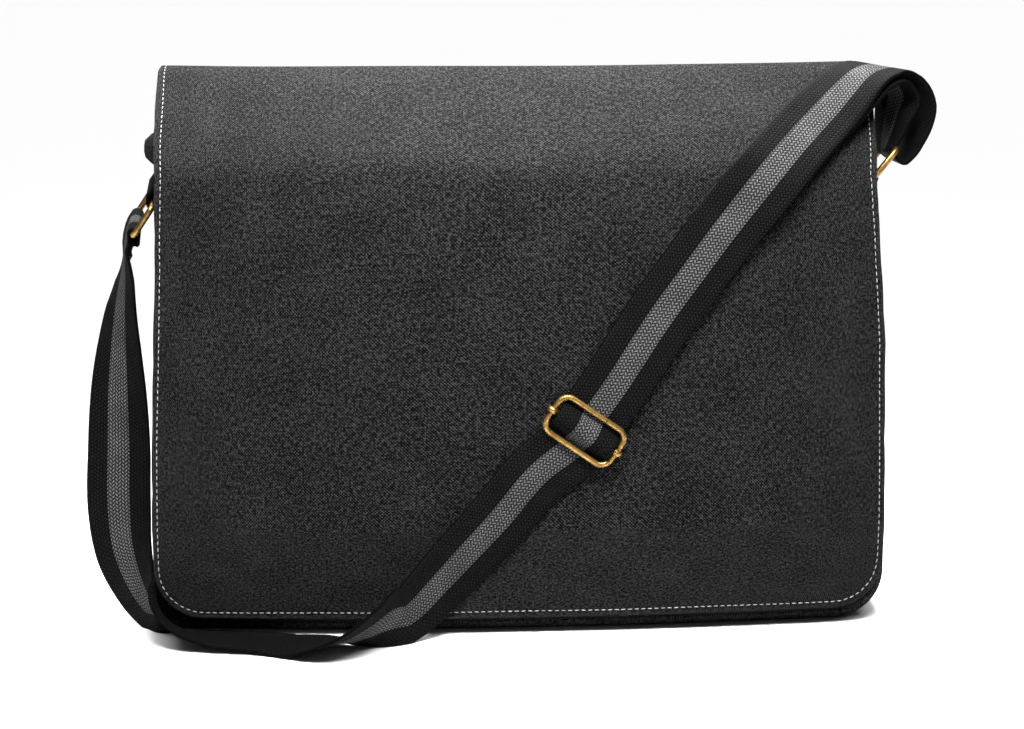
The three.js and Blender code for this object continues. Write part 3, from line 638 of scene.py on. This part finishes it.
def tab_stations(ring):
    centre, axis = Vector(ring["tab_bar"]), Vector(ring["bar"]).normalized()
    out = square_to((ring["side"], 0.0, 0.0), axis)
    down = square_to((0.0, 0.0, -1.0), axis)
    seat = TOP_HALF_WIDTH + TAB_GAP + TAB_THICK / 2.0
    rise = ring["top"] - centre.z
    fold = fold_round(centre, axis, -out, down, TAB_THICK)
    inner = centre + out * (seat - ring["side"] * centre.x) - down * rise
    outer = inner + out * (TAB_THICK + LAYER_GAP)
    line = [(inner, axis, -out, 1.0), (fold[0][0] - down * WIRE, axis, -out, 1.0)] + fold
    line += [(fold[-1][0] - down * WIRE, axis, out, 1.0), (outer, axis, out, 1.0)]
    return line


for side, ring in RINGS.items():
    tab, tab_length = lay_band(f"tab_{side}_webbing", tab_stations(ring), TAB_WIDTH, TAB_THICK, 10,
                               plain_webbing)
    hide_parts(f"tab_{side}")
    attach(tab, "root")

# Rings: rectangles bent from round brass wire, joined end to end, one in each tab. The finish is an
# antique brass, mottled at random with brighter, smoother patches.
RING_CORNER = 4.0
BRASS_TONES = ((0.32, (0.15, 0.083, 0.022)), (0.62, (0.43, 0.265, 0.088)))
brass, brass_shader = new_finish("antique brass")
patina = noise(brass, object_place(brass), 190.0, 5.0, 0.65)
brass_links = {"Base Color": tone_ramp(brass, patina, BRASS_TONES),
               "Roughness": spread_over(brass, patina, 0.3, 0.7, 0.5, 0.3)}
set_finish(brass, brass_shader, brass_links, Metallic=1.0)


def axes_at(centre, first, second):
    third = first.cross(second).normalized()
    matrix = Matrix((first, second, third)).transposed().to_4x4()
    return Matrix.Translation(centre) @ matrix


def finish_metal(bm, name, matrix, finish):
    """Places a piece worked out flat in millimetres, with its faces outward."""
    bmesh.ops.recalc_face_normals(bm, faces=bm.faces)
    bmesh.ops.transform(bm, matrix=matrix, verts=bm.verts)
    bmesh.ops.scale(bm, vec=(MM, MM, MM), verts=bm.verts)
    return make_piece(bm, name, finish)


def bend_wire(name, matrix, long, short, corner, finish):
    """A rectangle of wire: a round section drawn along each side and turned at each corner."""
    bm = bmesh.new()
    half_long, half_short = (long + WIRE) / 2.0, (short + WIRE) / 2.0
    start = Matrix.Translation((0.0, -half_short, 0.0)) @ Matrix.Rotation(math.pi / 2.0, 4, "Y")
    bmesh.ops.create_circle(bm, cap_ends=False, radius=WIRE / 2.0, segments=20, matrix=start)
    section = list(bm.edges)
    straights = (half_long, 2 * half_short, 2 * half_long, 2 * half_short, half_long)
    at = Vector((0.0, -half_short, 0.0))
    heading = Vector((1.0, 0.0, 0.0))
    for number, straight in enumerate(straights):
        ends = 1 if number in (0, len(straights) - 1) else 2
        run = heading * (straight - ends * corner)
        drawn = bmesh.ops.extrude_edge_only(bm, edges=section)["geom"]
        bmesh.ops.translate(bm, vec=run, verts=[v for v in drawn if isinstance(v, bmesh.types.BMVert)])
        section = [e for e in drawn if isinstance(e, bmesh.types.BMEdge)]
        at += run
        if number == len(straights) - 1:
            break
        left = Vector((-heading.y, heading.x, 0.0))
        turned = bmesh.ops.spin(bm, geom=section, cent=at + left * corner, axis=(0.0, 0.0, 1.0),
                                angle=math.pi / 2.0, steps=8, use_duplicate=False)["geom_last"]
        section = [e for e in turned if isinstance(e, bmesh.types.BMEdge)]
        at += (heading + left) * corner
        heading = left
    bmesh.ops.remove_doubles(bm, verts=bm.verts, dist=0.001)
    return finish_metal(bm, name, matrix, finish)


def strap_bar(ring):
    direction = square_to(ring["reach"], Vector(ring["bar"]).normalized())
    return Vector(ring["tab_bar"]) + direction * (RING_SHORT + WIRE)


for side, ring in RINGS.items():
    axis = Vector(ring["bar"]).normalized()
    middle = (Vector(ring["tab_bar"]) + strap_bar(ring)) / 2.0
    wire_ring = bend_wire(f"ring_{side}_wire", axes_at(middle, axis, square_to(ring["reach"], axis)),
                          RING_LONG, RING_SHORT, RING_CORNER, brass)
    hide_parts(f"ring_{side}")
    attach(wire_ring, "root")

# Strap: one length of cotton webbing, black with a grey stripe along its middle. It is sewn round the
# left ring, hangs down the left side, lies on the floor before the bag, climbs the flap through the
# slider, loops round the right ring and comes back under itself to the slider's bar.
STRAP_WIDTH, STRAP_THICK, STRIPE_HALF = 38.0, 1.6, 6.6
GREY_TONES = ((0.01, 0.01, 0.0105), (0.2, 0.2, 0.202))
STRAP_SQUEEZE, STRAP_PASS = 34.2 / STRAP_WIDTH, 36.8 / STRAP_WIDTH
FLAP_GAP, FLOOR_GAP, STRAP_STEP = 0.7, 0.2, 2.4
SEWN_TAIL, CLOSE_AT_RING, CLOSE_AT_LOOP = 20.0, 10.0, 40.0
RIGHT_TURN = math.radians(60.0)
SLIDER_LONG, SLIDER_SHORT, SLIDER_CORNER = 38.5, 19.0, 6.0
PASS_TOP, PASS_FOOT = 0.15, 0.8
PASS_PLACES = (-1.0, -0.66, -0.4, -0.2, 0.0, 0.2, 0.4, 0.66, 1.0)
SLIDER_AT, FRONT_ROWS = (33.8, 117.0), 6.0
SLIDER_ACROSS = Vector((-0.82, 0.0, 0.572)).normalized()
SLIDER_ALONG = Vector((0.572, 0.0, 0.82)).normalized()
single_lift = FLAP_GAP + STRAP_THICK / 2.0
double_lift = single_lift + STRAP_THICK + LAYER_GAP
slider_lift = double_lift + STRAP_THICK / 2.0 + WIRE_GAP + WIRE / 2.0
bar_reach = WIRE / 2.0 + WIRE_GAP + STRAP_THICK / 2.0
cross_lift = slider_lift + bar_reach + STRAP_THICK + LAYER_GAP
side_wire = (SLIDER_SHORT + WIRE) / 2.0


def on_flap(x, z, lift):
    """A point at a height in front of the flap, found by halving."""
    low, high = 0.0, FRONT_ROWS
    for _ in range(22):
        place = (low + high) / 2.0
        low, high = (place, high) if flap_frame(place, x)[0].z < z else (low, place)
    return x, flap_frame(low, x)[0].y - lift, z


def on_slider(along, lift):
    return on_flap(SLIDER_AT[0] + along * SLIDER_ALONG.x, SLIDER_AT[1] + along * SLIDER_ALONG.z, lift)


def edge_lift(slope):
    return single_lift + slope * STRAP_WIDTH / 2.0


def pass_lift(place):
    """Height over the flap where the strap passes under the frame's sides and over its bar."""
    low = double_lift - WIRE_GAP / 2.0
    return low + (cross_lift - low) * (1.0 - ease(place, PASS_TOP, PASS_FOOT))


def on_bar(ring):
    """A ring's bar for the strap: middle, direction along it, the strap's heading, and outward."""
    axis = Vector(ring["bar"]).normalized()
    run = square_to(ring["heading"], axis)
    return strap_bar(ring), axis, run, run.cross(axis)


left_bar, right_bar = on_bar(RINGS["left"]), on_bar(RINGS["right"])
ROUTE = [
    # middle, direction across towards the edge that is uppermost on the flap, share of the full width
    (left_bar[0] + left_bar[3] * bar_reach, left_bar[1], 1.0),
    ((-215.4, 10.3, 213.0), (0.13, -0.98, -0.15), 1.0),
    ((-216.7, 8.8, 205.0), (0.08, -0.99, -0.02), 1.0),
    ((-217.6, 4.6, 192.0), (0.27, -0.95, 0.05), 1.0),
    ((-219.0, 0.5, 178.0), (0.45, -0.88, 0.14), 1.0),
    ((-220.5, -1.0, 156.0), (0.64, -0.75, 0.15), 1.0),
    ((-222.0, -1.0, 123.0), (0.85, -0.51, 0.1), 1.0),
    ((-222.4, -4.0, 95.0), (0.93, -0.36, 0.07), 1.0),
    ((-222.8, -10.0, 67.0), (0.94, -0.32, 0.1), 1.0),
    ((-220.3, -18.5, 43.0), (0.84, -0.45, 0.28), 1.0),
    ((-212.2, -31.4, 24.4), (0.56, -0.6, 0.54), 1.0),
    ((-204.0, -43.3, 14.6), (0.3, -0.74, 0.56), 1.0),
    ((-198.0, -54.0, 9.5), (0.12, -0.88, 0.42), 1.0),
    ((-186.5, -61.0, 6.0), (0.0, -0.97, 0.22), 1.0),
    ((-173.5, -62.5, 3.2), (-0.06, -0.99, 0.11), 1.0),
    ((-159.0, -65.0, 2.0), (-0.1, -0.99, 0.06), 1.0),
    ((-142.0, -68.0, 1.4), (-0.1, -1.0, 0.03), 1.0),
    ((-123.0, -76.0, 1.6), (-0.03, -1.0, 0.02), 1.0),
    ((-103.5, -88.0, 6.6), (-0.06, -0.95, 0.28), 1.0),
    ((-82.0, -87.5, 12.6), (-0.27, -0.75, 0.6), 1.0),
    ((-62.0, -74.5, 19.0), (-0.48, -0.5, 0.72), 1.0),
    (on_flap(-45.0, 34.0, edge_lift(0.4)), (-0.62, -0.4, 0.68), 1.0),
    (on_flap(-30.0, 50.0, edge_lift(0.32)), (-0.66, -0.32, 0.68), 1.0),
    (on_flap(-13.5, 67.5, edge_lift(0.24)), (-0.69, -0.24, 0.68), 1.0),
    (on_flap(8.5, 93.0, edge_lift(0.12)), (-0.74, -0.12, 0.66), 0.96),
]
for place in PASS_PLACES:
    ROUTE.append((on_slider(place * side_wire, pass_lift(abs(place))), SLIDER_ACROSS, STRAP_PASS))
under_frame = len(ROUTE) - 1
ROUTE += [
    (on_slider(30.0, double_lift), (-0.83, 0.0, 0.56), 0.98),
    (on_flap(74.0, 177.5, double_lift), (-0.82, 0.0, 0.57), 1.0),
    (on_flap(92.5, 203.0, double_lift + 0.5), (-0.81, 0.0, 0.59), 1.0),
    (on_flap(111.0, 227.5, double_lift + 1.0), (-0.79, 0.04, 0.61), 1.0),
    ((129.0, -56.5, 250.0), (-0.78, 0.2, 0.59), 1.0),
    ((148.5, -42.0, 269.0), (-0.75, 0.42, 0.51), 1.0),
    ((169.0, -25.5, 286.5), (-0.68, 0.55, 0.48), 1.0),
    ((190.1, -10.7, 304.1), (-0.55, 0.81, 0.2), 1.0),
]
parting = len(ROUTE) - 1
ROUTE += [
    ((199.9, -2.2, 306.5), (-0.45, 0.89, 0.1), 1.0),
    ((208.8, 3.3, 305.3), (-0.35, 0.93, -0.05), 1.0),
    ((214.6, 5.1, 299.4), (-0.38, 0.9, -0.2), 1.0),
    ((219.8, 5.7, 293.6), (-0.42, 0.88, -0.22), 1.0),
    ((222.6, 6.3, 288.8), (-0.45, 0.88, -0.12), 1.0),
    ((224.3, 7.2, 283.8), (-0.42, 0.91, 0.0), 1.0),
    ((224.4, 7.9, 277.0), (-0.33, 0.94, 0.08), 1.0),
    ((222.4, 8.9, 268.2), (-0.22, 0.97, 0.1), 1.0),
    ((219.4, 9.9, 259.0), (-0.1, 0.99, 0.06), 1.0),
    ((215.8, 10.0, 252.8), (0.0, 1.0, -0.05), 1.0),
    (right_bar[0] + right_bar[3] * bar_reach, right_bar[1], 1.0),
]
LOOP_BACK = [
    # the same columns, from the right ring back to where the two layers meet
    ((209.0, 9.9, 264.3), (-0.1, 0.99, 0.0), 1.0),
    ((210.8, 9.1, 273.7), (-0.26, 0.96, 0.05), 1.0),
    ((212.3, 7.8, 282.1), (-0.35, 0.93, 0.05), 1.0),
    ((213.7, 6.1, 289.6), (-0.48, 0.87, -0.05), 1.0),
    ((211.3, 3.9, 295.8), (-0.45, 0.88, -0.05), 1.0),
    ((207.2, 1.0, 301.8), (-0.43, 0.89, 0.08), 1.0),
    ((197.5, -5.0, 301.6), (-0.49, 0.86, 0.14), 1.0),
]


def along_rows(rows):
    """Stations along a smooth path through rows, kept above the floor, with their places in rows."""
    middles, sides = [Vector(row[0]) for row in rows], [Vector(row[1]) for row in rows]
    last = len(rows) - 1
    places = []
    for index in range(last):
        steps = max(2, round((middles[index + 1] - middles[index]).length / STRAP_STEP))
        places += [index + step / steps for step in range(steps)]
    stations = []
    for place in places + [float(last)]:
        run = smooth_line(middles, min(place + 0.01, last)) - smooth_line(middles, max(place - 0.01, 0.0))
        run.normalize()
        across = square_to(smooth_line(sides, place, even=True), run)
        out = run.cross(across)
        index = min(int(place), last - 1)
        share = mix(rows[index][2], rows[index + 1][2], place - index)
        at = smooth_line(middles, place)
        lowest = at.z - (abs(across.z) * share * STRAP_WIDTH + abs(out.z) * STRAP_THICK) / 2.0
        at.z += max(FLOOR_GAP - lowest, 0.0)
        stations.append((place, (at, across, out, share)))
    return stations


def inner_layer(stations, close_by):
    """A second layer on the reverse side of the strap, wide apart at a wire and close further on."""
    travelled, layer = 0.0, []
    for number, (at, across, out, share) in enumerate(stations):
        travelled += (at - stations[number - 1][0]).length if number else 0.0
        spread = mix(2.0 * bar_reach, STRAP_THICK + LAYER_GAP, ease(travelled, 0.0, close_by))
        layer.append((at - out * spread, across, -out, share))
    return layer


placed = along_rows(ROUTE)
route = [station for place, station in placed]
tail, sewn = [], 0.0
for here, ahead in zip(route[1:], route[2:]):
    if sewn > SEWN_TAIL:
        break
    tail.append(here)
    sewn += (ahead[0] - here[0]).length
doubled = [station for place, station in placed if under_frame <= place <= parting]
second_layer = inner_layer(list(reversed(doubled)), CLOSE_AT_LOOP)
right_turn = fold_round(right_bar[0], right_bar[1], right_bar[3], right_bar[2], STRAP_THICK, RIGHT_TURN)
loop_back = along_rows([right_turn[-1][:2] + (1.0,)] + LOOP_BACK + [second_layer[0][:2] + (1.0,)])
slider_centre = Vector(on_slider(0.0, slider_lift))
slider_fold = fold_round(slider_centre, SLIDER_ACROSS, Vector((0.0, 1.0, 0.0)), -SLIDER_ALONG, STRAP_THICK)
strap_line = list(reversed(inner_layer(tail, CLOSE_AT_RING)))
strap_line += fold_round(left_bar[0], left_bar[1], -left_bar[3], -left_bar[2], STRAP_THICK)
strap_line += route[1:-1]
strap_line += right_turn
strap_line += [station for place, station in loop_back[1:-1]]
strap_line += second_layer
strap_line += [(at, across, out, STRAP_SQUEEZE) for at, across, out, share in slider_fold]
striped_webbing = herringbone("striped webbing", STRIPE_HALF * MM, BLACK_TONES, GREY_TONES)
strap, strap_length = lay_band("strap_webbing", strap_line, STRAP_WIDTH, STRAP_THICK, 16,
                               striped_webbing, plain_webbing)
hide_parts("strap")
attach(strap, "root")

# Slider: a brass wire rectangle with a round bar across its middle. A collar at each end of the bar is
# pressed round a short side of the frame, and the frame's wire ends meet in a fine line on its upper side.
COLLAR_WALL, COLLAR_LENGTH = 1.5, 3.0
JOINT_AT, JOINT_PROUD, JOINT_WIDTH = -6.5, 0.04, 0.5
JOINT_TONE = (0.05, 0.03, 0.012, 1.0)
slider_axes = axes_at(slider_centre, SLIDER_ACROSS, SLIDER_ALONG)
slider_frame = bend_wire("slider_frame_wire", slider_axes, SLIDER_LONG, SLIDER_SHORT, SLIDER_CORNER, brass)
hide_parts("slider_frame")

bm = bmesh.new()
half_bar = (SLIDER_LONG + WIRE) / 2.0
bore = WIRE / 2.0 + WIRE_GAP
bar_turn = Matrix.Rotation(math.pi / 2.0, 4, "Y")
bmesh.ops.create_cone(bm, cap_ends=True, segments=20, radius1=WIRE / 2.0, radius2=WIRE / 2.0,
                      depth=2.0 * (half_bar - bore - COLLAR_WALL / 2.0), matrix=bar_turn)
for end in (-half_bar, half_bar):
    upright = Matrix.Translation((end, 0.0, 0.0)) @ Matrix.Rotation(math.pi / 2.0, 4, "X")
    sleeve = bmesh.ops.create_cone(bm, cap_ends=False, segments=24, radius1=bore + COLLAR_WALL,
                                   radius2=bore + COLLAR_WALL, depth=COLLAR_LENGTH, matrix=upright)["verts"]
    shell = list({face for vert in sleeve for face in vert.link_faces})
    bmesh.ops.solidify(bm, geom=shell, thickness=COLLAR_WALL)
slider_bar = finish_metal(bm, "slider_bar_wire", slider_axes, brass)
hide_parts("slider_bar")

joint_finish, joint_shader = new_finish("dark wire joint")
set_finish(joint_finish, joint_shader, {}, Base_Color=JOINT_TONE, Metallic=1.0, Roughness=0.6)
bm = bmesh.new()
joint_turn = Matrix.Translation((JOINT_AT, side_wire, 0.0)) @ bar_turn
bmesh.ops.create_cone(bm, cap_ends=True, segments=20, radius1=WIRE / 2.0 + JOINT_PROUD,
                      radius2=WIRE / 2.0 + JOINT_PROUD, depth=JOINT_WIDTH, matrix=joint_turn)
slider_joint = finish_metal(bm, "slider_frame_joint", slider_axes, joint_finish)
for piece in (slider_frame, slider_bar, slider_joint):
    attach(piece, "root")

# Studio: a plain white floor, a wide soft light from above, two near strip lights, one over the flap's top
# and one before it, and a camera a little to the left of the front and above it. Sizes are in metres.
FLOOR_SIZE, PAPER = 12.0, (0.9, 0.9, 0.9, 1.0)
CAMERA_AT, CAMERA_AIM = (-0.0974, -1.5621, 0.4734), (-0.0018, 0.0, 0.1407)
bm = bmesh.new()
bmesh.ops.create_grid(bm, x_segments=2, y_segments=2, size=FLOOR_SIZE)
floor_paper, floor_shader = new_finish("white paper")
set_finish(floor_paper, floor_shader, {}, Base_Color=PAPER, Roughness=0.9)
floor = make_piece(bm, "studio_floor", floor_paper)

world = bpy.data.worlds.new("studio")
world.use_nodes = True
room = world.node_tree.nodes["Background"].inputs
room["Color"].default_value, room["Strength"].default_value = (1.0, 1.0, 1.0, 1.0), 0.08
bpy.context.scene.world = world
bpy.context.scene.view_settings.view_transform = "Standard"


def aim_at(name, data, at, aim):
    """Puts a light or camera in place, turned towards a point."""
    placed_object = bpy.data.objects.new(name, data)
    placed_object.location = at
    placed_object.rotation_euler = (Vector(aim) - Vector(at)).to_track_quat("-Z", "Y").to_euler()
    bpy.context.collection.objects.link(placed_object)
    return placed_object


def hang_light(name, kind, at, aim, energy, **settings):
    lamp = bpy.data.lights.new(name, kind)
    lamp.energy = energy
    for key, value in settings.items():
        setattr(lamp, key, value)
    aim_at(name, lamp, at, aim)


hang_light("ceiling", "SUN", (0.0, 0.0, 3.0), (0.0, 0.15, 0.0), 3.3, angle=math.radians(80.0))
hang_light("roof strip", "AREA", (0.0, 0.2, 0.65), (0.0, 0.0, 0.29), 6.9, shape="RECTANGLE", size=0.55,
           size_y=0.12, spread=math.radians(110.0))
hang_light("front strip", "AREA", (0.0, -0.45, 0.75), (0.0, -0.06, 0.26), 3.2, shape="RECTANGLE", size=0.55,
           size_y=0.15, spread=math.radians(70.0))

camera_data = bpy.data.cameras.new("camera")
camera_data.lens = 100.0
camera_data.sensor_width = 36.0
bpy.context.scene.camera = aim_at("camera", camera_data, CAMERA_AT, CAMERA_AIM)
